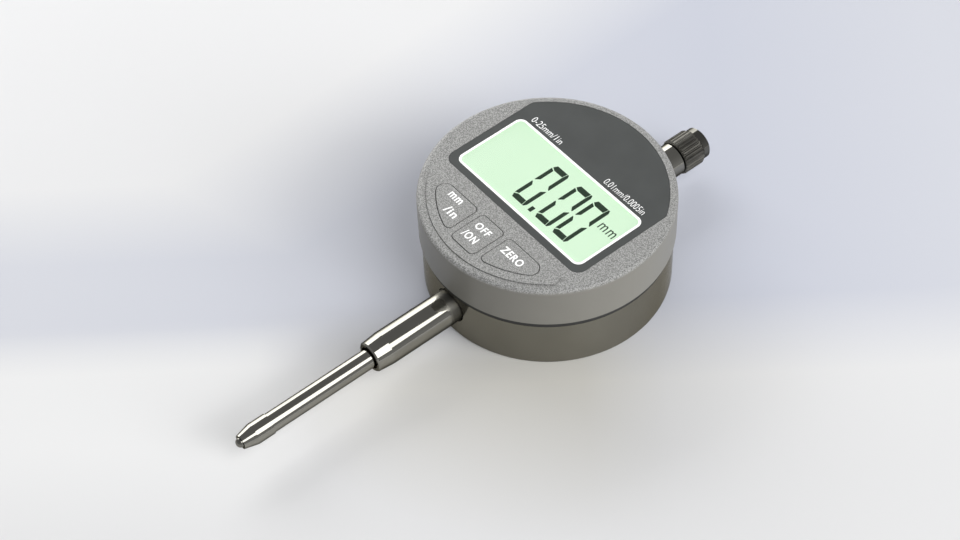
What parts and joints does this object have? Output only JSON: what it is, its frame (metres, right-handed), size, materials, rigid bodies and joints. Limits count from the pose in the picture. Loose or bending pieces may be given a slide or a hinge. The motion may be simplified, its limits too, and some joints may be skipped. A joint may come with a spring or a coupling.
{
  "type": "dial indicator",
  "caption": "Round digital dial indicator with a pale green readout, three keys, a mounting stem, a ball-tipped measuring spindle and a knurled lift cap.",
  "frame": {"origin": "centre of the back cover's flat face, on the axis of the round case", "axes": "+Z out of the display face, +Y towards the lift cap, -Y along the measuring spindle to the contact ball, +X to the right of the display"},
  "size_m": [0.058, 0.1335, 0.0255],
  "materials": {
    "housing_grey": "fine stippled silver grey",
    "case_grey": "satin warm grey",
    "cover_grey": "fine matt",
    "bezel_dark": "satin dark grey",
    "lens_clear": "clear",
    "lcd_green": "pale green liquid crystal",
    "lcd_glass": "clear",
    "polished_steel": "polished dark steel",
    "screw_steel": "machined",
    "carbide": "polished ball",
    "light_alloy": "machined",
    "bronze": "sintered bronze",
    "contact_brass": "spring sheet",
    "black_rubber": "matt",
    "elastomer": "striped elastomer",
    "board_green": "circuit board",
    "chip_black": "moulded",
    "holder_black": "moulded",
    "holder_white": "moulded",
    "battery_steel": "nickel plated",
    "part_tan": "ceramic",
    "lead_red": "insulated wire",
    "ribbon_amber": "polyimide ribbon"
  },
  "bodies": {
    "case": {"rear_case": "case_grey", "back_cover": "cover_grey", "cover_screws": "screw_steel", "battery": "battery_steel", "battery_holder": "holder_black", "battery_contacts": "contact_brass", "battery_leads": "lead_red", "housing_seal": "black_rubber", "front_housing": "housing_grey", "housing_screws": "screw_steel", "display_bezel": "bezel_dark", "display_lens": "lens_clear", "lcd_panel": "lcd_green", "lcd_rear_glass": "lcd_glass", "lcd_holder": "holder_white", "zebra_strips": "elastomer", "main_board": "board_green", "board_screws": "screw_steel", "processor_chip": "chip_black", "crystal": "battery_steel", "board_parts": "part_tan", "key_panel": "housing_grey", "key_mat": "black_rubber", "dome_contacts": "contact_brass", "stem": "polished_steel", "stem_bush_front": "bronze", "stem_bush_rear": "bronze", "stem_seal": "black_rubber", "upper_sleeve": "polished_steel", "upper_bush": "bronze", "sleeve_seal": "black_rubber", "set_screws": "screw_steel", "guide_rail": "bronze", "rail_screws": "screw_steel", "return_spring": "battery_steel", "sensor_board": "board_green", "sensor_screws": "screw_steel", "flex_cable": "ribbon_amber"},
    "spindle_unit": {"spindle": "polished_steel", "contact_point": "polished_steel", "contact_ball": "carbide", "lift_cap": "polished_steel", "scale_carrier": "light_alloy", "carrier_screw": "screw_steel", "slider_plate": "board_green", "guide_pin": "battery_steel"},
    "unit_key": {"unit_key": "housing_grey"},
    "power_key": {"power_key": "housing_grey"},
    "zero_key": {"zero_key": "housing_grey"},
    "battery_cap": {"battery_cap": "holder_black", "cap_seal": "black_rubber"}
  },
  "joints": [
    {"name": "spindle_slide", "type": "slide", "parent": "case", "child": "spindle_unit", "axis": [0, 1, 0], "range_m": [0, 0.0254], "stiffness_N_per_m": 25, "springref_m": -0.04, "deforming": ["return_spring"]},
    {"name": "unit_key_press", "type": "slide", "parent": "case", "child": "unit_key", "axis": [0, 0, -1], "range_m": [0, 0.00035], "stiffness_N_per_m": 500, "springref_m": -0.0005},
    {"name": "power_key_press", "type": "slide", "parent": "case", "child": "power_key", "axis": [0, 0, -1], "range_m": [0, 0.00035], "stiffness_N_per_m": 500, "springref_m": -0.0005},
    {"name": "zero_key_press", "type": "slide", "parent": "case", "child": "zero_key", "axis": [0, 0, -1], "range_m": [0, 0.00035], "stiffness_N_per_m": 500, "springref_m": -0.0005},
    {"name": "battery_cap_turn", "type": "hinge", "parent": "case", "child": "battery_cap", "pos_m": [0.0145, 0, 0], "axis": [0, 0, -1], "range_deg": [0, 60]}
  ]
}
